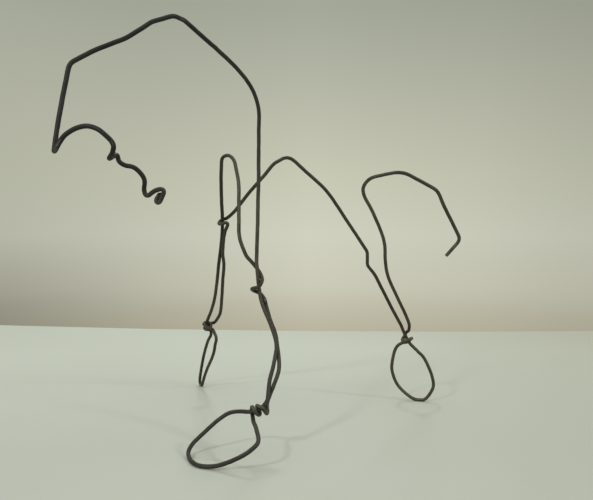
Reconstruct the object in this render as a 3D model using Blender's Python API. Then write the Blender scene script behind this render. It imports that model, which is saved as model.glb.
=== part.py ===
"""Wire sculpture of a four-legged animal, bent from one length of soft black steel wire.

The head hangs forward and to the left of the shoulders, two forelegs straddle the
body, the hind legs are drawn as one, and the tail arches up from them.  Each foot is
an open loop, closed by turns of the wire round itself at the ankle.

Tables are in millimetres and the mesh in metres.  -X is where the animal looks, +X
its tail, -Y its left side, +Y its right side, +Z up.  The tables are laid out from
the left shoulder with the table top at height 0; the finished mesh is then moved so
that its origin is the centre of its box on the table top.
"""

import math

import bmesh
import bpy
import numpy as np

# ------------------------------------------------------------------ driving sizes, mm
WIRE_D = 2.0            # wire diameter
SIDES = 8               # flats round the wire in this solid
ROUND = 1.03            # corner radius of the section over the wire's radius
LAY = 2.46              # centre to centre of two strands lying against each other
EASE = 0.55             # how far a hand-made bend is eased out along the wire
STEP = 0.2              # spacing of the worked-out centreline
TURN = 20.0             # most degrees of bend in one facet of the tube
REACH = 6.5             # longest facet of the tube

CORNER_R = WIRE_D / 2 * ROUND
FLAT_R = CORNER_R * math.cos(math.pi / SIDES)   # centre to flat; height of a resting foot
WORN = 0.10             # depth of the small flat worn under each foot

FOLD_R = 1.25           # chin: radius of the bend where the wire's end folds back on itself,
FOLD_END = 3.4          # how far the cut end comes back up beside the bend,
FOLD_LEAN = 0.9         # and how far it leans back there, behind the strand over the fold

OUT = np.array((-0.423, -0.906, 0.0))   # the side that the turns of each knot count from


# ------------------------------------------------------------------ shape functions
def unit(v):
    v = np.asarray(v, float)
    return v / np.linalg.norm(v)


def along(points):
    """Distance of each point from the first one."""
    steps = np.linalg.norm(np.diff(points, axis=0), axis=1)
    return np.concatenate([[0.0], np.cumsum(steps)])


def at(points, s, d):
    return np.array([np.interp(d, s, points[:, i]) for i in range(3)])


def bends(*rows):
    """Corners of a bent run, as rows of (x, y, z, bend radius)."""
    return [(np.array(r[:3], float), float(r[3])) for r in rows]


def sweep(*points):
    """A soft run that passes through each of the points (centripetal Catmull-Rom)."""
    p = [np.array(q, float) for q in points]
    p = [2 * p[0] - p[1]] + p + [2 * p[-1] - p[-2]]
    out = [p[1]]
    for a, b, c, d in zip(p, p[1:], p[2:], p[3:]):
        t1 = math.sqrt(np.linalg.norm(b - a))
        t2 = t1 + math.sqrt(np.linalg.norm(c - b))
        t3 = t2 + math.sqrt(np.linalg.norm(d - c))
        n = max(2, int(math.ceil(np.linalg.norm(c - b) / 0.7)))
        for k in range(1, n + 1):
            t = t1 + (t2 - t1) * k / n
            ab, bc, cd = a + (b - a) * t / t1, b + (c - b) * (t - t1) / (t2 - t1), c + (d - c) * (t - t2) / (t3 - t2)
            abc = ab + (bc - ab) * t / t2
            bcd = bc + (cd - bc) * (t - t1) / (t3 - t1)
            out.append(abc + (bcd - abc) * (t - t1) / (t2 - t1))
    return [(q, 99.0) for q in out]


def turns_round(core, *rows):
    """Turns of the wire wound on a core strand.

    Each row is (degrees, distance along the core, distance from it); the angle counts
    from OUT, right-handed about the core's own direction.
    """
    core = np.array(core, float)
    s = along(core)
    out = []
    for (w0, d0, r0), (w1, d1, r1) in zip(rows, rows[1:]):
        n = max(1, int(math.ceil(abs(w1 - w0) / 18)))
        for k in range(0 if not out else 1, n + 1):
            f = k / n
            w, d, r = math.radians(w0 + (w1 - w0) * f), d0 + (d1 - d0) * f, r0 + (r1 - r0) * f
            axis = unit(at(core, s, min(s[-1], d + 1.5)) - at(core, s, max(0.0, d - 1.5)))
            e1 = unit(OUT - axis * float(OUT @ axis))
            out.append((at(core, s, d) + r * (math.cos(w) * e1 + math.sin(w) * np.cross(axis, e1)), 99.0))
    return out


def folded_end(foot, up, side):
    """The wire's cut end folded back flat: from the end down to the fold and just round it."""
    up = unit(up)
    side = unit(np.asarray(side, float) - up * float(np.dot(side, up)))
    back = np.cross(up, side)
    path = [(-LAY / 2 + 0.2, FOLD_END, FOLD_LEAN), (-LAY / 2, 0.45 * FOLD_END, 0.3 * FOLD_LEAN)]
    path += [(-FOLD_R * math.cos(math.radians(w)), -FOLD_R * math.sin(math.radians(w)), 0.0) for w in range(0, 181, 15)]
    path += [(LAY / 2 + 0.15, 0.4, 0.0)]
    return [(np.asarray(foot, float) + u * side + v * up + w * back, 99.0) for u, v, w in path]


def filleted(corners):
    """Straight lengths joined by circular arcs, as points along the wire."""
    out = [corners[0][0]]
    for (a, _), (b, radius), (c, _) in zip(corners, corners[1:], corners[2:]):
        la, lc = np.linalg.norm(a - b), np.linalg.norm(c - b)
        u, v = (a - b) / la, (c - b) / lc
        turn = math.pi - math.acos(max(-1.0, min(1.0, float(u @ v))))
        if turn < 0.02:
            out.append(b)
            continue
        run = min(radius * math.tan(turn / 2), 0.5 * la, 0.5 * lc)
        r = run / math.tan(turn / 2)
        centre = b + unit(u + v) * (r / math.cos(turn / 2))
        e1 = unit(b + u * run - centre)
        e2 = unit((b + v * run - centre) - e1 * float(e1 @ (b + v * run - centre)))
        steps = max(2, int(turn / 0.12))
        for k in range(steps + 1):
            w = turn * k / steps
            out.append(centre + r * (math.cos(w) * e1 + math.sin(w) * e2))
    out.append(corners[-1][0])
    return np.array(out)


def evenly(points, step):
    points = points[np.concatenate([[True], np.linalg.norm(np.diff(points, axis=0), axis=1) > 1e-6])]
    s = along(points)
    t = np.linspace(0, s[-1], int(round(s[-1] / step)) + 1)
    return np.stack([np.interp(t, s, points[:, i]) for i in range(3)], axis=1)


def eased(points, step, width):
    """Softens the change from straight to bent, with the two ends kept in place."""
    reach = int(math.ceil(3 * width / step))
    k = np.exp(-0.5 * (np.arange(-reach, reach + 1) * step / width) ** 2)
    k /= k.sum()
    padded = np.concatenate([2 * points[0] - points[reach:0:-1], points,
                             2 * points[-1] - points[-2:-reach - 2:-1]])
    return np.stack([np.convolve(padded[:, i], k, "valid") for i in range(3)], axis=1)


# ------------------------------------------------------------------ the wire, bend by bend
def head():
    """From the folded cut end at the chin, over the snout and crown, to the nape."""
    fold = folded_end((-61.5, -41.8, 119.4), (0.31, -0.14, 0.94), (0.53, -0.79, -0.29))
    chin = bends(
        (-58.7, -44.3, 124.6, 1.3),     # over the fold
        (-63.0, -42.2, 123.5, 6.0),
        (-66.3, -39.0, 120.4, 1.15),    # notch of the chin
    )
    lip = sweep(
        (-67.0, -39.0, 124.0), (-67.0, -40.0, 128.0), (-69.0, -40.5, 131.0), (-72.0, -41.5, 133.0),
        (-75.5, -42.0, 133.5), (-78.0, -42.0, 135.0),
    )
    teeth = bends(
        (-78.5, -42.0, 138.0, 1.3),     # upper lip
        (-83.0, -48.5, 135.0, 1.5),     # tooth
    )
    snout = sweep(
        (-82.0, -52.0, 137.0), (-82.0, -54.5, 139.5), (-83.0, -56.0, 141.0), (-85.5, -56.0, 143.5),
        (-88.5, -54.5, 146.0), (-92.0, -52.0, 147.0), (-96.0, -49.0, 146.0), (-100.0, -46.0, 143.0), (-101.5, -45.0, 140.5),
    )
    face = bends(
        (-103.0, -45.0, 137.3, 1.25),   # tip of the muzzle, folded back on itself
        (-103.0, -42.3, 137.8, 1.25),
        (-102.5, -41.5, 141.0, 30.0),
        (-101.5, -40.5, 148.5, 30.0),
        (-97.0, -42.0, 173.0, 5.0),     # forehead
        (-86.5, -41.5, 180.0, 30.0),
        (-74.5, -41.5, 186.0, 20.0),    # brow
        (-64.0, -42.0, 194.0, 6.0),
        (-54.5, -42.0, 198.0, 4.5),     # crown
        (-49.5, -39.5, 197.5, 5.0),
    )
    return fold + chin + lip + teeth + snout + face


def neck():
    """From the nape down to the left shoulder; a plumb straight run."""
    return sweep(
        (-31.0, -27.5, 190.5), (-20.5, -20.0, 186.5), (-9.5, -12.0, 180.5), (-4.0, -7.5, 175.0),
        (-1.0, -5.0, 168.0), (-0.5, -3.5, 158.0),
    ) + bends((0.0, -2.0, 135.0, 99.0), (0.0, 0.0, 103.5, 60.0))


NECK_FOOT = ((0.5, -5.0, 69.5), (0.0, -3.0, 75.5), (0.0, -1.0, 82.0), (-0.5, 0.0, 90.5))


def left_leg_down():
    """Shoulder to ankle, on the neck's own line."""
    return sweep(
        *NECK_FOOT[::-1], (2.0, -11.0, 61.0), (2.5, -15.0, 56.0), (2.5, -19.5, 49.5), (-1.5, -24.0, 39.0),
        (-4.0, -26.5, 34.5), (-6.0, -29.5, 29.5),
    )


LEFT_ANKLE = ((-15.5, -30.5, 21.0), (-12.5, -32.0, 21.5), (-10.5, -32.5, 23.0), (-9.0, -32.5, 24.5), (-7.5, -32.0, 26.0))


def left_foot():
    """A broad loop lying forward and to the left, two turns round the ankle, and the heel."""
    loop = sweep(
        *LEFT_ANKLE[::-1], (-23.0, -20.0, 18.5), (-34.5, -17.0, 9.5), (-40.0, -17.0, 5.0), (-42.5, -19.0, 2.5),
        (-43.5, -24.0, FLAT_R), (-43.5, -32.0, FLAT_R), (-42.0, -36.0, FLAT_R), (-36.0, -42.0, 2.0), (-26.5, -49.5, 7.5),
        (-22.5, -51.0, 10.5), (-19.5, -50.0, 12.5), (-17.5, -43.0, 16.0), (-15.5, -34.0, 17.5), (-14.0, -29.0, 18.5),
    )
    knot = turns_round(
        LEFT_ANKLE,
        (180, 0.3, LAY), (270, 1.0, LAY), (315, 1.6, LAY), (360, 2.5, LAY), (450, 3.6, LAY), (540, 3.9, LAY),
        (630, 4.2, LAY), (720, 5.8, LAY),
    )
    heel = sweep((-9.5, -35.0, 21.0), (-8.5, -33.5, 20.0), (-7.5, -32.0, 21.0))
    return loop + knot + heel


def left_leg_up():
    """Ankle to shoulder beside the first strand, with a slim eye between the two."""
    return sweep(
        (-7.5, -31.0, 22.5), (-6.5, -29.5, 24.5), (-5.0, -28.5, 27.0), (-2.5, -27.5, 31.5), (1.5, -25.0, 39.0),
        (4.0, -17.0, 49.0), (4.5, -13.0, 55.0), (3.8, -8.8, 60.5), (3.0, -4.2, 68.5),
    )


def left_shoulder():
    """A turn and a half round the neck, climbing, with the first turn left slack."""
    return turns_round(
        NECK_FOOT,
        (115, 0.9, LAY), (145, 2.9, LAY), (180, 5.5, LAY + 0.1), (225, 6.9, 3.0), (270, 7.9, 4.0), (315, 7.8, 3.0),
        (360, 8.0, LAY), (450, 12.2, LAY), (505, 15.9, LAY), (540, 18.2, LAY),
    )


def withers():
    """The hairpin that carries the wire from the left shoulder over to the right one."""
    return bends(
        (-2.0, 3.0, 90.5, 8.0), (-4.5, 5.0, 93.5, 12.0), (-7.5, 7.5, 103.5, 20.0), (-4.5, 15.5, 133.0, 40.0),
        (-5.0, 21.5, 146.0, 14.0), (-7.0, 25.5, 149.0, 5.0), (-9.5, 29.5, 148.0, 5.0), (-8.5, 34.0, 136.0, 20.0),
        (-7.0, 38.0, 127.5, 60.0), (-6.0, 39.5, 117.5, 30.0), (-5.0, 42.0, 112.0, 20.0),
    )


RIGHT_SHOULDER = ((-7.0, 38.0, 127.5), (-6.0, 39.5, 117.5), (-5.0, 42.0, 112.0), (-4.0, 45.5, 106.0), (-3.5, 48.0, 102.0))


def right_leg_down():
    return sweep(
        RIGHT_SHOULDER[3], RIGHT_SHOULDER[4], (-2.0, 58.5, 86.0), (-0.5, 66.5, 75.5), (0.5, 73.5, 66.0), (1.0, 82.5, 56.5),
        RIGHT_ANKLE[3],
    )


RIGHT_ANKLE = ((3.8, 92.2, 41.0), (2.4, 91.8, 43.5), (1.2, 91.3, 46.0), (0.5, 90.5, 48.5), (1.0, 85.5, 53.5))


def right_foot():
    """A long narrow loop standing nearly edge on, then two turns round the ankle."""
    down = sweep(
        *RIGHT_ANKLE[2::-1], (4.0, 93.5, 38.5), (3.5, 96.0, 36.0), (3.5, 99.5, 33.0), (4.0, 106.0, 27.0),
        (4.0, 111.5, 19.5), (4.0, 118.5, 6.0),
    )
    toe = bends((4.3, 120.5, FLAT_R - 0.05, 1.9), (4.4, 115.2, FLAT_R - 0.05, 1.9))
    back = sweep(
        (4.5, 111.0, 6.5), (4.5, 103.5, 14.5), (4.5, 94.0, 22.5), (4.5, 88.5, 28.5), (4.5, 85.5, 34.0), (5.0, 85.0, 36.5),
        (5.0, 85.5, 39.0),
    )
    knot = turns_round(
        RIGHT_ANKLE,
        (38, 2.8, 2 * LAY), (10, 5.1, 2 * LAY - 0.1), (-20, 6.3, LAY + 1.1), (-45, 6.7, LAY + 0.2), (-90, 6.9, LAY + 0.5),
        (-180, 6.6, LAY), (-270, 5.0, LAY), (-315, 3.9, LAY), (-360, 2.9, LAY), (-450, 4.2, LAY + 0.9),
        (-540, 3.9, LAY + 1.0), (-585, 4.7, 2 * LAY), (-630, 6.0, 2 * LAY - 0.2),
    )
    return down + toe + back + knot


def right_leg_up():
    return sweep(
        (5.3, 86.6, 48.8), (5.6, 83.6, 51.0), (6.0, 80.5, 54.0), (6.0, 78.5, 57.0), (4.5, 72.0, 65.5), (2.5, 64.0, 76.5),
        (0.5, 56.0, 87.0), (-2.0, 50.5, 93.5), (-3.0, 47.0, 98.0), (-3.5, 44.5, 102.5), (-3.5, 41.5, 107.0),
    ) + bends((-2.0, 38.0, 112.5, 1.3))


def right_shoulder():
    """One turn round the hairpin's outer strand, which then leaves as the spine."""
    return turns_round(
        RIGHT_SHOULDER,
        (15, 16.4, LAY + 0.2), (90, 17.2, LAY), (180, 15.5, LAY), (235, 14.6, LAY + 0.5),
    )


def back():
    """The spine: up to the rump's top, then straight down into the hind leg."""
    return sweep(
        (-1.5, 39.5, 115.5), (0.0, 37.0, 117.5), (2.0, 34.0, 121.0), (5.5, 30.0, 127.0), (13.5, 22.5, 138.5),
        (18.0, 20.0, 144.5), (21.0, 19.0, 146.5), (24.0, 18.0, 148.0), (27.5, 17.5, 147.5), (33.5, 16.0, 142.5),
    ) + bends(
        (48.5, 14.0, 130.0, 40.0), (77.0, 16.5, 94.5, 3.5), (77.5, 17.5, 86.5, 3.5), (83.0, 17.5, 80.5, 14.0),
        (94.0, 19.0, 63.0, 90.0),
    )


HIND_ANKLE = ((113.5, 16.0, 32.0), (111.5, 17.5, 34.5), (109.5, 19.0, 37.0), (108.0, 19.5, 39.5), (106.5, 20.0, 42.5), (103.5, 20.5, 49.0))


def hind_foot():
    """An egg-shaped loop turned to the animal's left, then a turn and a quarter."""
    loop = sweep(
        *HIND_ANKLE[::-1], (116.5, 15.0, 29.0), (120.5, 13.0, 20.0), (123.0, 13.0, 12.0), (123.0, 14.0, 8.0),
        (119.5, 17.0, 1.5), (117.0, 19.0, FLAT_R), (115.0, 21.0, FLAT_R + 0.1), (112.5, 23.0, 2.5), (106.5, 28.0, 9.5),
        (103.0, 29.0, 18.5), (102.5, 28.5, 23.0), (103.5, 26.5, 32.5), (105.0, 25.0, 35.5), (107.0, 23.5, 37.0),
    )
    knot = turns_round(
        HIND_ANKLE,
        (-180, 7.9, LAY), (-270, 9.4, 2.8), (-360, 10.5, LAY), (-450, 11.0, 3.3), (-540, 12.4, LAY),
        (-575, 14.0, LAY),
    )
    return loop + knot


def tail():
    """Up beside the hind leg, a small S over the rump, and the arch of the tail."""
    return sweep(
        (109.0, 19.5, 45.0), (108.5, 18.5, 47.0), (107.5, 17.0, 49.0), (103.5, 15.5, 56.0), (88.0, 11.0, 80.0),
        (84.5, 8.5, 88.5), (82.0, 5.5, 99.0), (79.0, 4.0, 105.5), (75.0, 2.5, 112.0), (69.0, 0.5, 120.5),
        (64.0, -1.5, 126.5), (61.5, -4.5, 131.0), (62.5, -10.0, 135.5), (68.0, -16.0, 137.5),
    ) + bends(
        (75.5, -22.0, 139.0, 16.0), (94.5, -27.5, 129.0, 9.0), (100.0, -26.0, 121.0, 20.0),
        (115.0, -22.0, 102.0, 4.0), (109.0, -16.5, 92.5, 1.0),
    )


def route():
    corners = (head() + neck() + left_leg_down() + left_foot() + left_leg_up() + left_shoulder() + withers()
               + right_leg_down() + right_foot() + right_leg_up() + right_shoulder() + back()
               + hind_foot() + tail())
    kept = [corners[0]]
    for corner in corners[1:]:
        if np.linalg.norm(corner[0] - kept[-1][0]) > 0.3:
            kept.append(corner)
    return eased(evenly(filleted(kept), STEP), STEP, EASE)


# ------------------------------------------------------------------ the solid
def rings_on(line):
    """Indices of the centreline where the tube gets a ring: close in bends, far on straights."""
    tangents = np.gradient(line, axis=0)
    tangents /= np.linalg.norm(tangents, axis=1)[:, None]
    bent = np.arccos(np.clip(np.sum(tangents[1:] * tangents[:-1], axis=1), -1, 1))
    cost = np.concatenate([[0], np.cumsum(bent / math.radians(TURN) + STEP / REACH)])
    n = int(math.ceil(cost[-1]))
    picks = np.searchsorted(cost, np.linspace(0, cost[-1], n + 1))
    return np.unique(np.clip(picks, 0, len(line) - 1)), tangents


def frames(tangents):
    """A normal carried along the wire without twist."""
    normals = [unit(np.cross(tangents[0], (0.3, 0.5, 0.8)))]
    for t0, t1 in zip(tangents, tangents[1:]):
        n = normals[-1]
        axis = np.cross(t0, t1)
        s, c = np.linalg.norm(axis), float(t0 @ t1)
        if s > 1e-9:
            k, w = axis / s, math.atan2(s, c)
            n = n * math.cos(w) + np.cross(k, n) * math.sin(w) + k * float(k @ n) * (1 - math.cos(w))
        normals.append(unit(n - t1 * float(n @ t1)))
    return np.array(normals)


def rolls(line, tangents, normals):
    """Roll of the section along the wire that sets one of its flats down at each foot."""
    pitch = 2 * math.pi / SIDES
    where, amount = [], []
    for low in lowest_points(line):
        n, b = normals[low], np.cross(tangents[low], normals[low])
        down = math.atan2(-b[2], -n[2])
        where.append(low)
        amount.append((down + pitch / 2) % pitch - pitch / 2)
    return np.interp(np.arange(len(line)), where, amount)


def lowest_points(line):
    """Where the wire's centre comes down to the height of a resting foot, once per foot."""
    low = np.where(line[:, 2] < FLAT_R + 0.3)[0]
    groups = np.split(low, np.where(np.diff(low) > 50)[0] + 1)
    return [int(g[np.argmin(line[g, 2])]) if np.ptp(line[g, 2]) > 0.25 else int(g[len(g) // 2]) for g in groups]


def tube(name, line):
    tangents = rings_on(line)[1]
    normals = frames(tangents)
    roll = rolls(line, tangents, normals)
    picks = rings_on(line)[0]
    mesh = bmesh.new()
    rings = []
    for i in picks:
        n, b = normals[i], np.cross(tangents[i], normals[i])
        ring = []
        for k in range(SIDES):
            w = roll[i] + 2 * math.pi * (k + 0.5) / SIDES
            p = line[i] + CORNER_R * (math.cos(w) * n + math.sin(w) * b)
            if p[2] < WORN:
                p[2] = 0.0
            ring.append(mesh.verts.new(p / 1000))
        rings.append(ring)
    for lower, upper in zip(rings, rings[1:]):
        for k in range(SIDES):
            j = (k + 1) % SIDES
            mesh.faces.new((lower[k], lower[j], upper[j], upper[k]))
    mesh.faces.new(rings[0][::-1])
    mesh.faces.new(rings[-1])
    bmesh.ops.recalc_face_normals(mesh, faces=mesh.faces)
    data = bpy.data.meshes.new(name)
    mesh.to_mesh(data)
    mesh.free()
    wire = bpy.data.objects.new(name, data)
    bpy.context.scene.collection.objects.link(wire)
    return wire


def black_steel():
    """Soft black annealed steel: near black, a little brown, with a dull sheen."""
    material = bpy.data.materials.new("black_annealed_steel")
    material.use_nodes = True
    shader = material.node_tree.nodes["Principled BSDF"]
    shader.inputs["Base Color"].default_value = (0.032, 0.030, 0.024, 1.0)
    shader.inputs["Metallic"].default_value = 0.55
    shader.inputs["Roughness"].default_value = 0.48
    return material


def main():
    for thing in list(bpy.data.objects):
        bpy.data.objects.remove(thing, do_unlink=True)
    wire = tube("wire", route())
    corners = np.array([v.co[:] for v in wire.data.vertices])
    middle = (corners.min(axis=0) + corners.max(axis=0)) / 2
    for v in wire.data.vertices:
        v.co.x -= middle[0]
        v.co.y -= middle[1]
    wire.data.materials.append(black_steel())
    wire.data.shade_smooth()
    wire.data.set_sharp_from_angle(angle=math.radians(50))


main()
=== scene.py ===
"""Looks of the wire sculpture: one length of soft black annealed steel wire, bent by hand and pliers.

The solid gives the wire's route.  This file makes the wire again as a fine mesh on the
same route, with its strands drawn close in the knots, the section pressed a little at
tight bends, plier marks, sheared ends, and a mill-scale finish.

Lengths in the tables are millimetres; the scene is in metres.
"""

import math
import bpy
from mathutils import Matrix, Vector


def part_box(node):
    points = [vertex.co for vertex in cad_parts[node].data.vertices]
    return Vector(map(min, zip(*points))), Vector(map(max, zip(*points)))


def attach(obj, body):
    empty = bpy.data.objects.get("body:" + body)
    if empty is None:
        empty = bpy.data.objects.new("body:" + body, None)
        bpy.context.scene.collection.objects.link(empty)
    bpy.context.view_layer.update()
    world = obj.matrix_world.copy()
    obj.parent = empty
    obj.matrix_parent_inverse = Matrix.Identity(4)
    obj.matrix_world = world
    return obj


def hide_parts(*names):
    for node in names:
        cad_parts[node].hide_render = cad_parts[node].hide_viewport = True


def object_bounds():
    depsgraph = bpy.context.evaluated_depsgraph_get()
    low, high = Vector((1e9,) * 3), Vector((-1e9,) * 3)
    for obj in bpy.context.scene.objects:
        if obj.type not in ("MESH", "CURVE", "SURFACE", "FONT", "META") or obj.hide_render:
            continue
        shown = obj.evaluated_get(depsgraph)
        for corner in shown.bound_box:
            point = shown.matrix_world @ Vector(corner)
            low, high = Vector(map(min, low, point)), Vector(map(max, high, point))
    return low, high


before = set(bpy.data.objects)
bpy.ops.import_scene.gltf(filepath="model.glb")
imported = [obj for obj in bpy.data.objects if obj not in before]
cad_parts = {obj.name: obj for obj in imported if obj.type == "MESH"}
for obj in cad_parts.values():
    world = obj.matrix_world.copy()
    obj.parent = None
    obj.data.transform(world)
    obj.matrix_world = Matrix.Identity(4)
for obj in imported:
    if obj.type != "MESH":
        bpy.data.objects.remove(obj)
CAD_BOX = [list(corner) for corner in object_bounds()]

import bpy
import numpy as np
from mathutils import Vector

# ------------------------------------------------------------------ driving sizes, mm
WIRE_R = 1.0            # wire radius
SIDES = 18              # facets round the wire
RING_GAP = 0.33         # spacing of the rings along it
LAY = 2.07              # centre to centre of two strands lying against each other
EASE = 0.50             # how far a hand-made bend is eased out along the wire
STEP = 0.11             # spacing of the worked-out centreline

CAD_SIDES = 8           # the solid's own section, which sets the height of a resting foot
CAD_CORNER_R = WIRE_R * 1.03
FLAT_R = CAD_CORNER_R * math.cos(math.pi / CAD_SIDES)

FOLD_R = 1.25           # chin: radius of the bend where the wire's end folds back on itself,
FOLD_END = 3.4          # how far the cut end comes back up beside the bend,
FOLD_LEAN = 0.9         # and how far it leans back there, behind the strand over the fold

OUT = np.array((-0.423, -0.906, 0.0))   # the side that the turns of each knot count from


# ------------------------------------------------------------------ shape functions
def unit(v):
    v = np.asarray(v, float)
    return v / np.linalg.norm(v)


def along(points):
    """Distance of each point from the first one."""
    steps = np.linalg.norm(np.diff(points, axis=0), axis=1)
    return np.concatenate([[0.0], np.cumsum(steps)])


def at(points, s, d):
    return np.array([np.interp(d, s, points[:, i]) for i in range(3)])


def bends(*rows):
    """Corners of a bent run, as rows of (x, y, z, bend radius)."""
    return [(np.array(r[:3], float), float(r[3])) for r in rows]


def sweep(*points):
    """A soft run that passes through each of the points (centripetal Catmull-Rom)."""
    p = [np.array(q, float) for q in points]
    p = [2 * p[0] - p[1]] + p + [2 * p[-1] - p[-2]]
    out = [p[1]]
    for a, b, c, d in zip(p, p[1:], p[2:], p[3:]):
        t1 = math.sqrt(np.linalg.norm(b - a))
        t2 = t1 + math.sqrt(np.linalg.norm(c - b))
        t3 = t2 + math.sqrt(np.linalg.norm(d - c))
        n = max(2, int(math.ceil(np.linalg.norm(c - b) / 0.7)))
        for k in range(1, n + 1):
            t = t1 + (t2 - t1) * k / n
            ab, bc, cd = a + (b - a) * t / t1, b + (c - b) * (t - t1) / (t2 - t1), c + (d - c) * (t - t2) / (t3 - t2)
            abc = ab + (bc - ab) * t / t2
            bcd = bc + (cd - bc) * (t - t1) / (t3 - t1)
            out.append(abc + (bcd - abc) * (t - t1) / (t2 - t1))
    return [(q, 99.0) for q in out]


def turns_round(core, *rows):
    """Turns of the wire wound on a core strand.

    Each row is (degrees, distance along the core, distance from it); the angle counts
    from OUT, right-handed about the core's own direction.
    """
    core = np.array(core, float)
    s = along(core)
    out = []
    for (w0, d0, r0), (w1, d1, r1) in zip(rows, rows[1:]):
        n = max(1, int(math.ceil(abs(w1 - w0) / 18)))
        for k in range(0 if not out else 1, n + 1):
            f = k / n
            w, d, r = math.radians(w0 + (w1 - w0) * f), d0 + (d1 - d0) * f, r0 + (r1 - r0) * f
            axis = unit(at(core, s, min(s[-1], d + 1.5)) - at(core, s, max(0.0, d - 1.5)))
            e1 = unit(OUT - axis * float(OUT @ axis))
            out.append((at(core, s, d) + r * (math.cos(w) * e1 + math.sin(w) * np.cross(axis, e1)), 99.0))
    return out


def folded_end(foot, up, side):
    """The wire's cut end folded back flat: from the end down to the fold and just round it."""
    up = unit(up)
    side = unit(np.asarray(side, float) - up * float(np.dot(side, up)))
    back = np.cross(up, side)
    path = [(-LAY / 2 + 0.2, FOLD_END, FOLD_LEAN), (-LAY / 2, 0.45 * FOLD_END, 0.3 * FOLD_LEAN)]
    path += [(-FOLD_R * math.cos(math.radians(w)), -FOLD_R * math.sin(math.radians(w)), 0.0) for w in range(0, 181, 15)]
    path += [(LAY / 2 + 0.15, 0.4, 0.0)]
    return [(np.asarray(foot, float) + u * side + v * up + w * back, 99.0) for u, v, w in path]


def filleted(corners):
    """Straight lengths joined by circular arcs, as points along the wire."""
    out = [corners[0][0]]
    for (a, _), (b, radius), (c, _) in zip(corners, corners[1:], corners[2:]):
        la, lc = np.linalg.norm(a - b), np.linalg.norm(c - b)
        u, v = (a - b) / la, (c - b) / lc
        turn = math.pi - math.acos(max(-1.0, min(1.0, float(u @ v))))
        if turn < 0.02:
            out.append(b)
            continue
        run = min(radius * math.tan(turn / 2), 0.5 * la, 0.5 * lc)
        r = run / math.tan(turn / 2)
        centre = b + unit(u + v) * (r / math.cos(turn / 2))
        e1 = unit(b + u * run - centre)
        e2 = unit((b + v * run - centre) - e1 * float(e1 @ (b + v * run - centre)))
        steps = max(2, int(turn / 0.12))
        for k in range(steps + 1):
            w = turn * k / steps
            out.append(centre + r * (math.cos(w) * e1 + math.sin(w) * e2))
    out.append(corners[-1][0])
    return np.array(out)


def evenly(points, step):
    points = points[np.concatenate([[True], np.linalg.norm(np.diff(points, axis=0), axis=1) > 1e-6])]
    s = along(points)
    t = np.linspace(0, s[-1], int(round(s[-1] / step)) + 1)
    return np.stack([np.interp(t, s, points[:, i]) for i in range(3)], axis=1)


def eased(points, step, width):
    """Softens the change from straight to bent, with the two ends kept in place."""
    reach = int(math.ceil(3 * width / step))
    k = np.exp(-0.5 * (np.arange(-reach, reach + 1) * step / width) ** 2)
    k /= k.sum()
    padded = np.concatenate([2 * points[0] - points[reach:0:-1], points,
                             2 * points[-1] - points[-2:-reach - 2:-1]])
    return np.stack([np.convolve(padded[:, i], k, "valid") for i in range(3)], axis=1)


# ------------------------------------------------------------------ the wire, bend by bend
def head():
    """From the folded cut end at the chin, over the snout and crown, to the nape."""
    fold = folded_end((-61.5, -41.8, 119.4), (0.31, -0.14, 0.94), (0.53, -0.79, -0.29))
    chin = bends(
        (-58.7, -44.3, 124.6, 1.3),     # over the fold
        (-63.0, -42.2, 123.5, 6.0),
        (-66.3, -39.0, 120.4, 1.15),    # notch of the chin
    )
    lip = sweep(
        (-67.0, -39.0, 124.0), (-67.0, -40.0, 128.0), (-69.0, -40.5, 131.0), (-72.0, -41.5, 133.0),
        (-75.5, -42.0, 133.5), (-78.0, -42.0, 135.0),
    )
    teeth = bends(
        (-78.5, -42.0, 138.0, 1.3),     # upper lip
        (-83.0, -48.5, 135.0, 1.5),     # tooth
    )
    snout = sweep(
        (-82.0, -52.0, 137.0), (-82.0, -54.5, 139.5), (-83.0, -56.0, 141.0), (-85.5, -56.0, 143.5),
        (-88.5, -54.5, 146.0), (-92.0, -52.0, 147.0), (-96.0, -49.0, 146.0), (-100.0, -46.0, 143.0), (-101.5, -45.0, 140.5),
    )
    face = bends(
        (-103.0, -45.0, 137.3, 1.25),   # tip of the muzzle, folded back on itself
        (-103.0, -42.3, 137.8, 1.25),
        (-102.5, -41.5, 141.0, 30.0),
        (-101.5, -40.5, 148.5, 30.0),
        (-97.0, -42.0, 173.0, 5.0),     # forehead
        (-86.5, -41.5, 180.0, 30.0),
        (-74.5, -41.5, 186.0, 20.0),    # brow
        (-64.0, -42.0, 194.0, 6.0),
        (-54.5, -42.0, 198.0, 4.5),     # crown
        (-49.5, -39.5, 197.5, 5.0),
    )
    return fold + chin + lip + teeth + snout + face


def neck():
    """From the nape down to the left shoulder; a plumb straight run."""
    return sweep(
        (-31.0, -27.5, 190.5), (-20.5, -20.0, 186.5), (-9.5, -12.0, 180.5), (-4.0, -7.5, 175.0),
        (-1.0, -5.0, 168.0), (-0.5, -3.5, 158.0),
    ) + bends((0.0, -2.0, 135.0, 99.0), (0.0, 0.0, 103.5, 60.0))


NECK_FOOT = ((0.5, -5.0, 69.5), (0.0, -3.0, 75.5), (0.0, -1.0, 82.0), (-0.5, 0.0, 90.5))


def left_leg_down():
    """Shoulder to ankle, on the neck's own line."""
    return sweep(
        *NECK_FOOT[::-1], (2.0, -11.0, 61.0), (2.5, -15.0, 56.0), (2.5, -19.5, 49.5), (-1.5, -24.0, 39.0),
        (-4.0, -26.5, 34.5), (-6.0, -29.5, 29.5),
    )


LEFT_ANKLE = ((-15.5, -30.5, 21.0), (-12.5, -32.0, 21.5), (-10.5, -32.5, 23.0), (-9.0, -32.5, 24.5), (-7.5, -32.0, 26.0))


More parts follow.
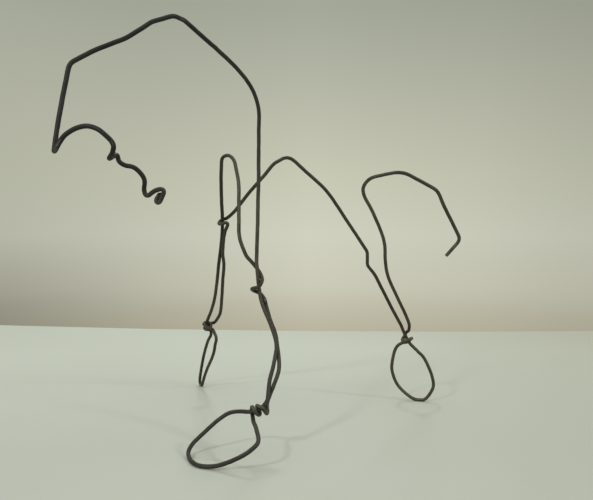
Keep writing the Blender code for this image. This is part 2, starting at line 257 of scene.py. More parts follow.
def left_foot():
    """A broad loop lying forward and to the left, two turns round the ankle, and the heel."""
    loop = sweep(
        *LEFT_ANKLE[::-1], (-23.0, -20.0, 18.5), (-34.5, -17.0, 9.5), (-40.0, -17.0, 5.0), (-42.5, -19.0, 2.5),
        (-43.5, -24.0, FLAT_R), (-43.5, -32.0, FLAT_R), (-42.0, -36.0, FLAT_R), (-36.0, -42.0, 2.0), (-26.5, -49.5, 7.5),
        (-22.5, -51.0, 10.5), (-19.5, -50.0, 12.5), (-17.5, -43.0, 16.0), (-15.5, -34.0, 17.5), (-14.0, -29.0, 18.5),
    )
    knot = turns_round(
        LEFT_ANKLE,
        (180, 0.3, LAY), (270, 1.0, LAY), (315, 1.6, LAY), (360, 2.5, LAY), (450, 3.6, LAY), (540, 3.9, LAY),
        (630, 4.2, LAY), (720, 5.8, LAY),
    )
    heel = sweep((-9.5, -35.0, 21.0), (-8.5, -33.5, 20.0), (-7.5, -32.0, 21.0))
    return loop + knot + heel


def left_leg_up():
    """Ankle to shoulder beside the first strand, with a slim eye between the two."""
    return sweep(
        (-7.5, -31.0, 22.5), (-6.5, -29.5, 24.5), (-5.0, -28.5, 27.0), (-2.5, -27.5, 31.5), (1.5, -25.0, 39.0),
        (4.0, -17.0, 49.0), (4.5, -13.0, 55.0), (3.8, -8.8, 60.5), (3.0, -4.2, 68.5),
    )


def left_shoulder():
    """A turn and a half round the neck, climbing, with the first turn left slack."""
    return turns_round(
        NECK_FOOT,
        (115, 0.9, LAY), (145, 2.9, LAY), (180, 5.5, LAY + 0.1), (225, 6.9, 3.0), (270, 7.9, 4.0), (315, 7.8, 3.0),
        (360, 8.0, LAY), (450, 12.2, LAY), (505, 15.9, LAY), (540, 18.2, LAY),
    )


def withers():
    """The hairpin that carries the wire from the left shoulder over to the right one."""
    return bends(
        (-2.0, 3.0, 90.5, 8.0), (-4.5, 5.0, 93.5, 12.0), (-7.5, 7.5, 103.5, 20.0), (-4.5, 15.5, 133.0, 40.0),
        (-5.0, 21.5, 146.0, 14.0), (-7.0, 25.5, 149.0, 5.0), (-9.5, 29.5, 148.0, 5.0), (-8.5, 34.0, 136.0, 20.0),
        (-7.0, 38.0, 127.5, 60.0), (-6.0, 39.5, 117.5, 30.0), (-5.0, 42.0, 112.0, 20.0),
    )


RIGHT_SHOULDER = ((-7.0, 38.0, 127.5), (-6.0, 39.5, 117.5), (-5.0, 42.0, 112.0), (-4.0, 45.5, 106.0), (-3.5, 48.0, 102.0))


def right_leg_down():
    return sweep(
        RIGHT_SHOULDER[3], RIGHT_SHOULDER[4], (-2.0, 58.5, 86.0), (-0.5, 66.5, 75.5), (0.5, 73.5, 66.0), (1.0, 82.5, 56.5),
        RIGHT_ANKLE[3],
    )


RIGHT_ANKLE = ((3.8, 92.2, 41.0), (2.4, 91.8, 43.5), (1.2, 91.3, 46.0), (0.5, 90.5, 48.5), (1.0, 85.5, 53.5))


def right_foot():
    """A long narrow loop standing nearly edge on, then two turns round the ankle."""
    down = sweep(
        *RIGHT_ANKLE[2::-1], (4.0, 93.5, 38.5), (3.5, 96.0, 36.0), (3.5, 99.5, 33.0), (4.0, 106.0, 27.0),
        (4.0, 111.5, 19.5), (4.0, 118.5, 6.0),
    )
    toe = bends((4.3, 120.5, FLAT_R - 0.05, 1.9), (4.4, 115.2, FLAT_R - 0.05, 1.9))
    back = sweep(
        (4.5, 111.0, 6.5), (4.5, 103.5, 14.5), (4.5, 94.0, 22.5), (4.5, 88.5, 28.5), (4.5, 85.5, 34.0), (5.0, 85.0, 36.5),
        (5.0, 85.5, 39.0),
    )
    knot = turns_round(
        RIGHT_ANKLE,
        (38, 2.8, 2 * LAY), (10, 5.1, 2 * LAY - 0.1), (-20, 6.3, LAY + 1.1), (-45, 6.7, LAY + 0.2), (-90, 6.9, LAY + 0.5),
        (-180, 6.6, LAY), (-270, 5.0, LAY), (-315, 3.9, LAY), (-360, 2.9, LAY), (-450, 4.2, LAY + 0.9),
        (-540, 3.9, LAY + 1.0), (-585, 4.7, 2 * LAY), (-630, 6.0, 2 * LAY - 0.2),
    )
    return down + toe + back + knot


def right_leg_up():
    return sweep(
        (5.3, 86.6, 48.8), (5.6, 83.6, 51.0), (6.0, 80.5, 54.0), (6.0, 78.5, 57.0), (4.5, 72.0, 65.5), (2.5, 64.0, 76.5),
        (0.5, 56.0, 87.0), (-2.0, 50.5, 93.5), (-3.0, 47.0, 98.0), (-3.5, 44.5, 102.5), (-3.5, 41.5, 107.0),
    ) + bends((-2.0, 38.0, 112.5, 1.3))


def right_shoulder():
    """One turn round the hairpin's outer strand, which then leaves as the spine."""
    return turns_round(
        RIGHT_SHOULDER,
        (15, 16.4, LAY + 0.2), (90, 17.2, LAY), (180, 15.5, LAY), (235, 14.6, LAY + 0.5),
    )


def back():
    """The spine: up to the rump's top, then straight down into the hind leg."""
    return sweep(
        (-1.5, 39.5, 115.5), (0.0, 37.0, 117.5), (2.0, 34.0, 121.0), (5.5, 30.0, 127.0), (13.5, 22.5, 138.5),
        (18.0, 20.0, 144.5), (21.0, 19.0, 146.5), (24.0, 18.0, 148.0), (27.5, 17.5, 147.5), (33.5, 16.0, 142.5),
    ) + bends(
        (48.5, 14.0, 130.0, 40.0), (77.0, 16.5, 94.5, 3.5), (77.5, 17.5, 86.5, 3.5), (83.0, 17.5, 80.5, 14.0),
        (94.0, 19.0, 63.0, 90.0),
    )


HIND_ANKLE = ((113.5, 16.0, 32.0), (111.5, 17.5, 34.5), (109.5, 19.0, 37.0), (108.0, 19.5, 39.5), (106.5, 20.0, 42.5), (103.5, 20.5, 49.0))


def hind_foot():
    """An egg-shaped loop turned to the animal's left, then a turn and a quarter."""
    loop = sweep(
        *HIND_ANKLE[::-1], (116.5, 15.0, 29.0), (120.5, 13.0, 20.0), (123.0, 13.0, 12.0), (123.0, 14.0, 8.0),
        (119.5, 17.0, 1.5), (117.0, 19.0, FLAT_R), (115.0, 21.0, FLAT_R + 0.1), (112.5, 23.0, 2.5), (106.5, 28.0, 9.5),
        (103.0, 29.0, 18.5), (102.5, 28.5, 23.0), (103.5, 26.5, 32.5), (105.0, 25.0, 35.5), (107.0, 23.5, 37.0),
    )
    knot = turns_round(
        HIND_ANKLE,
        (-180, 7.9, LAY), (-270, 9.4, 2.8), (-360, 10.5, LAY), (-450, 11.0, 3.3), (-540, 12.4, LAY),
        (-575, 14.0, LAY),
    )
    return loop + knot


def tail():
    """Up beside the hind leg, a small S over the rump, and the arch of the tail."""
    return sweep(
        (109.0, 19.5, 45.0), (108.5, 18.5, 47.0), (107.5, 17.0, 49.0), (103.5, 15.5, 56.0), (88.0, 11.0, 80.0),
        (84.5, 8.5, 88.5), (82.0, 5.5, 99.0), (79.0, 4.0, 105.5), (75.0, 2.5, 112.0), (69.0, 0.5, 120.5),
        (64.0, -1.5, 126.5), (61.5, -4.5, 131.0), (62.5, -10.0, 135.5), (68.0, -16.0, 137.5),
    ) + bends(
        (75.5, -22.0, 139.0, 16.0), (94.5, -27.5, 129.0, 9.0), (100.0, -26.0, 121.0, 20.0),
        (115.0, -22.0, 102.0, 4.0), (109.0, -16.5, 92.5, 1.0),
    )


def route():
    corners = (head() + neck() + left_leg_down() + left_foot() + left_leg_up() + left_shoulder() + withers()
               + right_leg_down() + right_foot() + right_leg_up() + right_shoulder() + back()
               + hind_foot() + tail())
    kept = [corners[0]]
    for corner in corners[1:]:
        if np.linalg.norm(corner[0] - kept[-1][0]) > 0.3:
            kept.append(corner)
    return eased(evenly(filleted(kept), STEP), STEP, EASE)


# ------------------------------------------------------------------ the fine wire mesh
# Where pliers held the wire: a point near the spot, the jaws' angle round the wire in
# degrees, and the length of the mark.
PLIER_MARKS = (
    ((-102.0, -43.5, 141.5), 20, 4.2),    # muzzle, while it was folded
    ((-101.9, -41.0, 145.5), 75, 4.0),
    ((-81.5, -46.5, 135.6), 110, 2.6),    # tooth
    ((-82.6, -55.4, 141.0), 40, 3.0),
    ((-66.6, -39.5, 125.5), 160, 3.0),    # chin
    ((-95.5, -42.0, 174.0), 60, 4.5),     # forehead
    ((-50.5, -40.5, 197.7), 10, 4.0),     # crown
    ((-0.2, -2.5, 150.0), 130, 3.6),      # neck
    ((-7.2, 8.0, 104.5), 45, 3.5),        # hairpin foot
    ((-8.0, 28.3, 148.7), 90, 4.0),       # hairpin top
    ((-4.2, 45.0, 107.0), 15, 3.0),       # right shoulder
    ((4.4, 117.0, 1.5), 30, 3.2),         # right toe
    ((5.2, 86.3, 39.5), 150, 3.0),        # right ankle
    ((-20.5, -22.5, 19.5), 70, 3.8),      # left ankle
    ((-18.6, -49.0, 13.5), 25, 3.2),
    ((-42.5, -35.0, 1.2), 140, 3.4),      # left toe
    ((21.5, 18.8, 146.9), 100, 4.0),      # top of the spine
    ((76.5, 16.6, 93.0), 35, 3.6),        # rump
    ((79.0, 17.4, 84.5), 80, 3.6),
    ((103.5, 27.0, 29.0), 55, 3.0),       # hind ankle
    ((121.8, 13.2, 16.0), 120, 3.2),
    ((107.9, 17.9, 48.0), 20, 3.0),
    ((62.0, -7.5, 133.8), 65, 3.8),       # tail
    ((97.5, -27.0, 125.5), 5, 3.6),
    ((112.6, -20.0, 98.5), 95, 3.8),
    ((110.0, -17.4, 94.3), 35, 2.8),      # beside the tail's cut end
)
JAW_DEPTH = 0.085       # how deep the jaws press
JAW_PITCH = 0.85        # spacing of the jaws' ridges
SHEAR = 0.90            # length of a sheared end
UNEVEN = 0.055          # sideways unevenness of the hand-straightened wire
# How brown the scale is along the wire, whose darker blue-black stretches also carry painted shade: (distance from the
# chin's cut end, 0 to 1).
BROWNED_AND_SHADE = ((0, 0.65), (25, 0.25), (60, 0.10), (200, 0.0), (260, 0.45), (345, 0.85), (430, 0.25), (500, 0.30), (560, 0.95), (1600, 1.0))
# and painted light and shade along the wire: how much each run is lightened or darkened there
PAINTED_LIGHT_ALONG = (
    (0, 1.3), (26, 0.6), (95, 0.6), (110, 0.9), (130, 0.9), (142, 0.4), (172, 0.75), (200, 1.05), (250, 0.9), (300, 1.6), (335, 1.6), (360, 0.9),
    (415, 1.1), (516, 1.0), (560, 0.85), (650, 0.9), (670, 1.3), (712, 1.2), (730, 0.5), (785, 0.6), (800, 0.95), (1100, 0.85),
    (1250, 0.9), (1300, 1.3), (1370, 1.2), (1420, 1.0), (1465, 1.4), (1500, 1.4), (1520, 0.8), (1600, 1.5),
)


def hand_wander(line):
    """The wire's small sideways unevenness, as an offset for each point along it."""
    s = along(line)
    steady = np.clip((line[:, 2] - 2.0) / 4.0, 0.0, 1.0)        # none where it stands on its feet
    off = np.zeros_like(line)
    for axis, waves in enumerate((((0.31, 0.4), (0.73, 1.9), (1.37, 4.1)),
                                  ((0.27, 2.2), (0.81, 0.7), (1.51, 3.3)),
                                  ((0.35, 5.1), (0.67, 2.9), (1.23, 0.2)))):
        for n, (rate, phase) in enumerate(waves):
            off[:, axis] += np.sin(s * rate + phase) / (1.0 + n)
    return off * (UNEVEN / 1.8 * steady)[:, None]


def frames_along(line):
    """Tangent, and a normal carried along the wire without twist."""
    tangents = np.gradient(line, axis=0)
    tangents /= np.linalg.norm(tangents, axis=1)[:, None]
    normals = [unit(np.cross(tangents[0], (0.3, 0.5, 0.8)))]
    for t0, t1 in zip(tangents, tangents[1:]):
        n = normals[-1]
        axis = np.cross(t0, t1)
        s, c = np.linalg.norm(axis), float(t0 @ t1)
        if s > 1e-9:
            k, w = axis / s, math.atan2(s, c)
            n = n * math.cos(w) + np.cross(k, n) * math.sin(w) + k * float(k @ n) * (1 - math.cos(w))
        normals.append(unit(n - t1 * float(n @ t1)))
    return tangents, np.array(normals)


def smooth_step(x):
    x = np.clip(x, 0.0, 1.0)
    return x * x * (3.0 - 2.0 * x)


def section(s, length, bend, bend_angle, marks, angles):
    """Radii round the wire at one ring, and how worn and how bare the metal is there."""
    r = np.full(len(angles), WIRE_R)
    worn = np.zeros(len(angles))
    outer = np.cos(angles - bend_angle)
    squeeze = smooth_step((bend - 0.16) / 0.45)
    r *= 1.0 - 0.045 * squeeze * np.clip(-outer, 0.0, 1.0) ** 2 + 0.012 * squeeze * np.sin(angles - bend_angle) ** 2
    inner_crease = squeeze * np.clip(outer, 0.0, 1.0) ** 3
    r -= 0.016 * inner_crease * (0.5 + 0.5 * math.cos(s * 2 * math.pi / 0.9))
    worn = np.maximum(worn, 0.55 * squeeze * np.clip(-outer, 0.0, 1.0) ** 2)
    r += 0.006 * np.sin(2 * angles + s * 0.05) + 0.004 * np.sin(3 * angles - s * 0.11 + 1.0)
    for middle, jaw, span in marks:
        along_mark = 1.0 - smooth_step((abs(s - middle) - span * 0.32) / (span * 0.2))
        if along_mark <= 0.0:
            continue
        ridge = 0.62 + 0.38 * math.cos((s - middle) * 2 * math.pi / JAW_PITCH)
        depth = JAW_DEPTH * along_mark * ridge
        for side in (jaw, jaw + math.pi):
            facing = np.cos(angles - side)
            flat = (WIRE_R - depth) / np.maximum(facing, 0.35)
            pressed = facing > 0.35
            cut = np.where(pressed, np.minimum(r, flat), r)
            worn = np.maximum(worn, np.where(pressed, smooth_step((r - cut) / 0.035) * (0.45 + 0.4 * ridge) * along_mark, 0.0))
            r = cut
    return r, worn


def fine_wire(name, route_line):
    line = route_line + hand_wander(route_line)
    tangents, normals = frames_along(line)
    s = along(line)
    length = s[-1]
    turn = np.gradient(tangents, axis=0) / np.gradient(s)[:, None]
    bend = np.linalg.norm(turn, axis=1)
    marks = []
    for near, jaw, span in PLIER_MARKS:
        at_mark = int(np.argmin(np.linalg.norm(line - np.array(near), axis=1)))
        marks.append((s[at_mark], math.radians(jaw), span))
    count = int(round(length / RING_GAP))
    stations = np.linspace(0.0, length, count + 1)
    # closer rings over the sheared ends
    ends = np.linspace(0.0, SHEAR, 9)[:-1]
    stations = np.concatenate([ends, stations[(stations > SHEAR) & (stations < length - SHEAR)], length - ends[::-1]])
    index = np.interp(stations, s, np.arange(len(s)))
    angles = 2 * math.pi * (np.arange(SIDES) + 0.5) / SIDES

    def pick(values, i):
        a = int(min(len(values) - 2, math.floor(i)))
        return values[a] + (values[a + 1] - values[a]) * (i - a)

    points, wear, bare, skin = [], [], [], []
    for d, i in zip(stations, index):
        p, t = pick(line, i), unit(pick(tangents, i))
        n = unit(pick(normals, i) - t * float(pick(normals, i) @ t))
        b = np.cross(t, n)
        k = pick(turn, i)
        bend_angle = math.atan2(float(k @ b), float(k @ n))
        local = [m for m in marks if abs(m[0] - d) < m[2]]
        r, worn = section(d, length, float(pick(bend, i)), bend_angle, local, angles)
        x, y = r * np.cos(angles), r * np.sin(angles)
        # sheared ends: two blades meet, so the section closes to a blunt ridge
        to_end = min(d, length - d)
        blade = math.radians(35 if d < length / 2 else 115)
        shut = 1.0 - smooth_step(to_end / SHEAR)
        if shut > 0.0:
            u = x * math.cos(blade) + y * math.sin(blade)
            v = -x * math.sin(blade) + y * math.cos(blade)
            u = u * (1.0 - 0.80 * shut ** 0.8)
            v = v * (1.0 - 0.10 * shut)
            x = u * math.cos(blade) - v * math.sin(blade)
            y = u * math.sin(blade) + v * math.cos(blade)
        ring = p + np.outer(x, n) + np.outer(y, b)
        down = ring[:, 2] < 0.035
        rubbed = np.where(ring[:, 2] < 0.05, 0.9, 0.0)
        ring[:, 2] = np.where(down, 0.0, ring[:, 2])
        points.append(ring)
        wear.append(np.maximum(worn, rubbed))
        bare.append(np.full(SIDES, smooth_step(1.0 - to_end / (SHEAR * 0.8))))
        skin.append(np.stack([np.cos(angles) * WIRE_R, np.sin(angles) * WIRE_R, np.full(SIDES, d)], axis=1))
    rings = len(points)
    points = np.concatenate(points)
    quads = []
    for i in range(rings - 1):
        a = i * SIDES
        for k in range(SIDES):
            j = (k + 1) % SIDES
            quads.append((a + k, a + j, a + SIDES + j, a + SIDES + k))
    first = tuple(range(SIDES))[::-1]
    last = tuple(range((rings - 1) * SIDES, rings * SIDES))
    mesh = bpy.data.meshes.new(name)
    mesh.from_pydata((points / 1000).tolist(), [], quads + [first, last])
    mesh.update()
    for label, values in (("wear", np.concatenate(wear)), ("bare", np.concatenate(bare))):
        attribute = mesh.attributes.new(label, "FLOAT", "POINT")
        attribute.data.foreach_set("value", values.astype(np.float32))
    attribute = mesh.attributes.new("skin", "FLOAT_VECTOR", "POINT")
    attribute.data.foreach_set("vector", np.concatenate(skin).astype(np.float32).reshape(-1))
    mesh.shade_smooth()
    mesh.set_sharp_from_angle(angle=math.radians(60))
    thing = bpy.data.objects.new(name, mesh)
    bpy.context.scene.collection.objects.link(thing)
    return thing


# ------------------------------------------------------------------ materials
def node(tree, kind, place=(0, 0), **values):
    made = tree.nodes.new(kind)
    made.location = place
    for key, value in values.items():
        if hasattr(made, key):
            setattr(made, key, value)
        else:
            made.inputs[key.replace("_", " ")].default_value = value
    return made


def noise(tree, coordinates, scale, detail, rough, place, distortion=0.0):
    made = node(tree, "ShaderNodeTexNoise", place)
    made.inputs["Scale"].default_value = scale
    made.inputs["Detail"].default_value = detail
    made.inputs["Roughness"].default_value = rough
    made.inputs["Distortion"].default_value = distortion
    tree.links.new(coordinates, made.inputs["Vector"])
    return made.outputs["Fac"]


def ramp(tree, factor, stops, place):
    made = node(tree, "ShaderNodeValToRGB", place)
    elements = made.color_ramp.elements
    while len(elements) > len(stops):
        elements.remove(elements[-1])
    while len(elements) < len(stops):
        elements.new(0.5)
    for element, (position, colour) in zip(elements, stops):
        element.position = position
        element.color = (*colour, 1.0)
    tree.links.new(factor, made.inputs["Fac"])
    return made.outputs["Color"]


def mixed(tree, factor, a, b, place, blend="MIX"):
    made = node(tree, "ShaderNodeMix", place)
    made.data_type = "RGBA"
    made.blend_type = blend
    for value, socket in ((factor, made.inputs[0]), (a, made.inputs[6]), (b, made.inputs[7])):
        if isinstance(value, bpy.types.NodeSocket):
            tree.links.new(value, socket)
        elif isinstance(value, tuple):
            socket.default_value = (*value, 1.0)
        else:
            socket.default_value = value
    return made.outputs[2]


def sums(tree, operation, a, b, place, clamp=False):
    made = node(tree, "ShaderNodeMath", place)
    made.operation = operation
    made.use_clamp = clamp
    for value, socket in ((a, made.inputs[0]), (b, made.inputs[1])):
        if isinstance(value, bpy.types.NodeSocket):
            tree.links.new(value, socket)
        else:
            socket.default_value = value
    return made.outputs[0]


def mapped(tree, factor, low, high, to_low, to_high, place):
    made = node(tree, "ShaderNodeMapRange", place)
    made.inputs["From Min"].default_value = low
    made.inputs["From Max"].default_value = high
    made.inputs["To Min"].default_value = to_low
    made.inputs["To Max"].default_value = to_high
    tree.links.new(factor, made.inputs["Value"])
    return made.outputs["Result"]


def scaled(tree, vector, scale, place):
    made = node(tree, "ShaderNodeVectorMath", place)
    made.operation = "MULTIPLY"
    made.inputs[1].default_value = scale
    tree.links.new(vector, made.inputs[0])
    return made.outputs[0]


def attribute(tree, name, output, place):
    made = node(tree, "ShaderNodeAttribute", place)
    made.attribute_name = name
    return made.outputs[output]


def mill_scale():
    """Black annealed steel: an oxide skin, brown in patches, drawn lengthwise, rubbed where it was worked, with painted
    light and shade along the wire.
    """
    material = bpy.data.materials.new("black_annealed_steel")
    material.use_nodes = True
    tree = material.node_tree
    shader = tree.nodes["Principled BSDF"]
    skin = attribute(tree, "skin", "Vector", (-1500, 200))      # round the wire, round it, along it, in mm
    wear = attribute(tree, "wear", "Fac", (-1500, -200))
    bare = attribute(tree, "bare", "Fac", (-1500, -400))
    long_way = scaled(tree, skin, (2.2, 2.2, 0.05), (-1300, 300))
    patches = noise(tree, scaled(tree, skin, (0.30, 0.30, 0.11), (-1300, 600)), 1.0, 4.0, 0.62, (-1100, 600), 0.4)
    mottle = noise(tree, scaled(tree, skin, (1.0, 1.0, 0.55), (-1300, 450)), 1.6, 5.0, 0.6, (-1100, 450))
    drawn = noise(tree, long_way, 1.5, 3.0, 0.55, (-1100, 250))
    grain = noise(tree, skin, 5.5, 3.0, 0.6, (-1100, 50))
    flakes = noise(tree, scaled(tree, skin, (1.0, 1.0, 0.7), (-1300, 0)), 2.4, 6.0, 0.7, (-1100, -50), 0.8)

    # the scale is blue-black over the head and on the left foot, olive-brown elsewhere; the blue-black palette is also
    # darker as painted shade for the less lit head
    distance = node(tree, "ShaderNodeSeparateXYZ", (-1300, 900))
    tree.links.new(skin, distance.inputs[0])
    # tint along the wire, partly painted shade: its blue-black end is the darker palette
    tint_and_shade = ramp(tree, sums(tree, "DIVIDE", distance.outputs[2], 1600.0, (-1100, 900)),
                tuple((place / 1600.0, (v, v, v)) for place, v in BROWNED_AND_SHADE), (-850, 900))
    blue_black = ramp(tree, patches, ((0.30, (0.0095, 0.0102, 0.0125)), (0.50, (0.0165, 0.0176, 0.0205)),
                                      (0.72, (0.0290, 0.0300, 0.0330))), (-850, 750))
    brown = ramp(tree, patches, ((0.30, (0.0250, 0.0230, 0.0135)), (0.50, (0.0480, 0.0440, 0.0260)),
                                 (0.72, (0.0820, 0.0740, 0.0450))), (-850, 600))
    oxide = mixed(tree, tint_and_shade, blue_black, brown, (-600, 700))
    dusty = ramp(tree, mottle, ((0.35, (0.021, 0.0195, 0.014)), (0.68, (0.078, 0.070, 0.047))), (-850, 400))
    colour = mixed(tree, mapped(tree, tint_and_shade, 0.0, 1.0, 0.12, 0.44, (-600, 300)), oxide, dusty, (-600, 500))
    streaks = mapped(tree, drawn, 0.32, 0.70, 0.58, 1.18, (-850, 200))
    lift = node(tree, "ShaderNodeVectorMath", (-450, 400))
    lift.operation = "SCALE"
    # painted light and shade along the wire, multiplied into the colour together with the drawn streaks
    painted_light_along = ramp(tree, sums(tree, "DIVIDE", distance.outputs[2], 1600.0, (-1100, 1050)),
                 tuple((place / 1600.0, (v / 3.0, v / 3.0, v / 3.0)) for place, v in PAINTED_LIGHT_ALONG), (-850, 1050))
    tree.links.new(colour, lift.inputs[0])
    tree.links.new(sums(tree, "MULTIPLY", streaks, sums(tree, "MULTIPLY", painted_light_along, 3.0, (-650, 1050)), (-550, 250)), lift.inputs["Scale"])
    chipped = sums(tree, "MULTIPLY", mapped(tree, flakes, 0.60, 0.70, 0.0, 1.0, (-850, -50)), 0.35, (-650, -50))
    rubbed = sums(tree, "MULTIPLY", wear, mapped(tree, grain, 0.30, 0.65, 0.25, 1.0, (-850, -200)), (-650, -200))
    shown = sums(tree, "MAXIMUM", chipped, rubbed, (-450, -100), clamp=True)
    colour = mixed(tree, shown, lift.outputs[0], (0.170, 0.158, 0.128), (-250, 400))
    colour = mixed(tree, bare, colour, (0.36, 0.34, 0.31), (-50, 400))
    tree.links.new(colour, shader.inputs["Base Color"])

    metal = sums(tree, "ADD", 0.30, sums(tree, "MULTIPLY", shown, 0.45, (-250, 150)), (-100, 150))
    metal = sums(tree, "MAXIMUM", metal, bare, (50, 150), clamp=True)
    tree.links.new(metal, shader.inputs["Metallic"])
    rough = sums(tree, "ADD", mapped(tree, mottle, 0.30, 0.72, 0.38, 0.60, (-450, 50)),
                 mapped(tree, tint_and_shade, 0.0, 1.0, 0.15, 0.0, (-450, 150)), (-300, 50))
    rough = sums(tree, "SUBTRACT", rough, sums(tree, "MULTIPLY", shown, 0.10, (-250, 0)), (-100, 0), clamp=True)
    tree.links.new(rough, shader.inputs["Roughness"])

    height = sums(tree, "ADD", sums(tree, "MULTIPLY", drawn, 0.55, (-650, -400)),
                  sums(tree, "MULTIPLY", grain, 0.30, (-650, -500)), (-450, -450))
    height = sums(tree, "ADD", height, sums(tree, "MULTIPLY", flakes, 0.55, (-650, -600)), (-250, -450))
    bump = node(tree, "ShaderNodeBump", (-50, -450))
    bump.inputs["Strength"].default_value = 0.55
    bump.inputs["Distance"].default_value = 0.00006
    tree.links.new(height, bump.inputs["Height"])
    tree.links.new(bump.outputs["Normal"], shader.inputs["Normal"])
    shader.inputs["Specular IOR Level"].default_value = 0.44
    return material


def tabletop():
    """Pale laminate with a faint gloss, with painted shade towards the right and painted light and shade from near to
    far.
    """
    material = bpy.data.materials.new("pale_tabletop")
    material.use_nodes = True
    tree = material.node_tree
    shader = tree.nodes["Principled BSDF"]
    place = node(tree, "ShaderNodeTexCoord", (-900, 0)).outputs["Object"]
    cloud = noise(tree, place, 5.0, 3.0, 0.5, (-700, 100))
    speck = noise(tree, place, 900.0, 2.0, 0.5, (-700, -100))
    colour = ramp(tree, cloud, ((0.3, (0.458, 0.488, 0.438)), (0.7, (0.482, 0.513, 0.462))), (-450, 100))
    colour = mixed(tree, mapped(tree, speck, 0.35, 0.75, 0.0, 0.10, (-450, -100)), colour, (0.40, 0.43, 0.37), (-200, 100))
    beside, beyond = (node(tree, "ShaderNodeVectorMath", (-700, up)) for up in (300, 500))
    for along, direction in ((beside, ACROSS), (beyond, AHEAD)):
        along.operation = "DOT_PRODUCT"
        along.inputs[1].default_value = tuple(direction)
        tree.links.new(place, along.inputs[0])
    # painted shade: the table darkened towards the right
    painted_shade_aside = mapped(tree, beside.outputs["Value"], 0.05, 0.32, 0.0, 1.0, (-450, 300))
    colour = mixed(tree, painted_shade_aside, colour, (0.392, 0.402, 0.338), (0, 100))
    # painted light and shade: the table darker near the camera and lighter towards its far edge
    shaded = mapped(tree, beyond.outputs["Value"], -0.06, 0.20, 0.90, 1.06, (-450, 500))
    colour = mixed(tree, 1.0, colour, shaded, (200, 100), "MULTIPLY")
    tree.links.new(colour, shader.inputs["Base Color"])
    tree.links.new(mapped(tree, cloud, 0.3, 0.7, 0.48, 0.56, (-450, -300)), shader.inputs["Roughness"])
    shader.inputs["Specular IOR Level"].default_value = 0.30
    return material


# ------------------------------------------------------------------ the piece, in its place
wire_line = route()
sculpture = fine_wire("wire_sculpture", wire_line)
cad_low, cad_high = (np.array(corner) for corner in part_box("wire"))
co = np.zeros(len(sculpture.data.vertices) * 3)
sculpture.data.vertices.foreach_get("co", co)
co = co.reshape(-1, 3)
SHIFT = (cad_low + cad_high) / 2 - (co.min(axis=0) + co.max(axis=0)) / 2
SHIFT[2] = cad_low[2]
co += SHIFT
sculpture.data.vertices.foreach_set("co", co.reshape(-1))
sculpture.data.update()
sculpture.data.materials.append(mill_scale())
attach(sculpture, "root")
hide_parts("wire")


# ------------------------------------------------------------------ camera
YAW, PITCH = math.radians(25.0), math.radians(1.322)
EYE = np.array((-0.1251, -0.3168, 0.1046)) + (SHIFT[0], SHIFT[1], 0.0)
FOCAL_PX, WIDE_PX = 650.0, 593.0
camera_data = bpy.data.cameras.new("camera")
camera_data.sensor_width = 36.0
camera_data.lens = 36.0 * FOCAL_PX / WIDE_PX
camera_data.clip_start = 0.01
camera = bpy.data.objects.new("camera", camera_data)
camera.location = EYE
camera.rotation_euler = (math.radians(90.0) - PITCH, 0.0, -YAW)
bpy.context.scene.collection.objects.link(camera)
bpy.context.scene.camera = camera
AHEAD = np.array((math.sin(YAW), math.cos(YAW), 0.0))
ACROSS = np.array((math.cos(YAW), -math.sin(YAW), 0.0))


def from_eye(across, ahead, up):
    """A point measured from below the camera: to its right, away from it, and up."""
    return np.array((EYE[0], EYE[1], 0.0)) + ACROSS * across + AHEAD * ahead + np.array((0.0, 0.0, up))


# ------------------------------------------------------------------ table, wall and light
def sheet_of(name, corners, material):
    mesh = bpy.data.meshes.new(name)
    mesh.from_pydata([tuple(c) for c in corners], [], [tuple(range(len(corners)))])
    mesh.materials.append(material)
    thing = bpy.data.objects.new(name, mesh)
    bpy.context.scene.collection.objects.link(thing)
    return thing


def area_light(name, place, target, size, power, colour):
    data = bpy.data.lights.new(name, "AREA")
    data.shape = "RECTANGLE"
    data.size, data.size_y = size
    data.energy = power
    data.color = colour
    thing = bpy.data.objects.new(name, data)
    thing.location = place
    thing.rotation_euler = (Vector(target) - Vector(place)).to_track_quat("-Z", "Y").to_euler()
    bpy.context.scene.collection.objects.link(thing)
    return thing


# the table's far edge, from the left of the view to its right, and the table as far as it
far_edge = [from_eye(across, ahead, 0.0) for across, ahead in (
    (-0.344, 0.752), (-0.163, 0.722), (0.004, 0.706), (0.166, 0.701), (0.3225, 0.705))]
along_edge = unit(far_edge[-1] - far_edge[0])
floor = sheet_of("floor", (from_eye(-3, -2, 0), from_eye(3, -2, 0), far_edge[-1] + along_edge * 2.7,
                           *reversed(far_edge), far_edge[0] - along_edge * 2.7), tabletop())


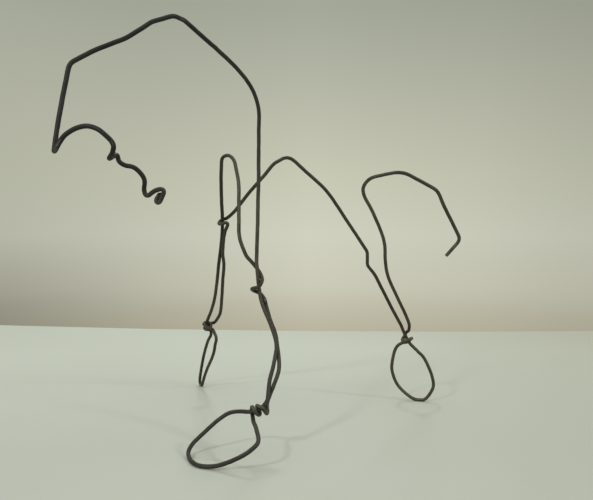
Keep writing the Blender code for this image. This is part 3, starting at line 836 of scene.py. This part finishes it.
def studio():
    """A soft cream room round the object: brightest level with it, dimmer up the far side and to the sides."""
    world = bpy.data.worlds.new("studio")
    world.use_nodes = True
    tree = world.node_tree
    ray = node(tree, "ShaderNodeTexCoord", (-1200, 0)).outputs["Generated"]

    def part_of(direction, place):
        made = node(tree, "ShaderNodeVectorMath", place)
        made.operation = "DOT_PRODUCT"
        made.inputs[1].default_value = tuple(direction)
        tree.links.new(ray, made.inputs[0])
        return made.outputs["Value"]

    level = mapped(tree, part_of((0, 0, 1), (-1000, 100)), -1.0, 1.0, 0.0, 1.0, (-800, 100))
    sideways = mapped(tree, part_of(ACROSS, (-1000, -200)), -1.0, 1.0, 0.0, 1.0, (-800, -200))
    upward = ramp(tree, level, tuple(((z + 1.0) / 2.0, colour) for z, colour in ROOM_UP), (-550, 100))
    low_aside, high_aside = (
        ramp(tree, sideways, tuple(((x + 1.0) / 2.0, (v, v, v)) for x, v in table), (-550, place))
        for table, place in ((ROOM_ASIDE_LOW, -200), (ROOM_ASIDE_HIGH, -500)))
    rise = ramp(tree, level, tuple((at, (share, share, share)) for at, share in ROOM_RISE), (-550, -700))
    aside = mixed(tree, rise, low_aside, high_aside, (-400, -300))
    upward_only = ramp(tree, level, ((0.69, (0.0, 0.0, 0.0)), (0.80, (1.0, 1.0, 1.0))), (-550, -400))
    aside = mixed(tree, upward_only, aside, (1.0, 1.0, 1.0), (-300, -200))
    colour = mixed(tree, 1.0, upward, aside, (-50, 0), "MULTIPLY")
    tree.links.new(colour, tree.nodes["Background"].inputs["Color"])
    tree.nodes["Background"].inputs["Strength"].default_value = 1.0
    return world


ROOM_UP = (     # (sine of the height above level, colour)
    (-1.0, (0.42, 0.41, 0.32)), (-0.15, (0.470, 0.447, 0.335)), (-0.118, (0.515, 0.496, 0.384)),
    (-0.080, (0.585, 0.578, 0.468)), (0.0, (0.630, 0.637, 0.520)), (0.090, (0.576, 0.589, 0.466)),
    (0.180, (0.511, 0.517, 0.415)), (0.26, (0.442, 0.458, 0.368)), (0.33, (0.383, 0.404, 0.324)),
    (0.42, (0.400, 0.420, 0.345)), (0.62, (0.78, 0.80, 0.74)), (1.0, (1.00, 1.01, 0.96)),
)
# (sine of the angle to the right of straight ahead, brightness): towards the floor, and high up
ROOM_ASIDE_LOW = (
    (-1.0, 0.70), (-0.46, 0.52), (-0.40, 0.58), (-0.22, 0.82), (0.02, 1.03), (0.27, 0.92),
    (0.38, 0.83), (0.45, 0.79), (1.0, 0.80),
)
ROOM_ASIDE_HIGH = (
    (-1.0, 0.92), (-0.46, 0.95), (-0.38, 0.94), (-0.22, 0.92), (0.02, 0.97), (0.27, 0.89),
    (0.38, 0.82), (0.45, 0.78), (1.0, 0.80),
)
ROOM_RISE = ((0.45, 0.0), (0.50, 0.47), (0.55, 0.62), (0.65, 1.0))      # (height, share of the upper one)
bpy.context.scene.world = studio()

middle = (CAD_BOX[0][0] + CAD_BOX[1][0]) / 2, (CAD_BOX[0][1] + CAD_BOX[1][1]) / 2, 0.05
area_light("lamp_behind", from_eye(-0.03, 1.12, 1.02), middle, (0.14, 0.08), 2.3, (1.0, 0.98, 0.92))
area_light("lamp_left", from_eye(-0.69, -0.61, 0.78), middle, (0.13, 0.08), 6.2, (1.0, 0.98, 0.94))
area_light("lamp_right", from_eye(1.06, -0.19, 0.84), middle, (0.14, 0.10), 4.6, (1.0, 0.98, 0.94))

bpy.context.scene.view_settings.view_transform = "Standard"
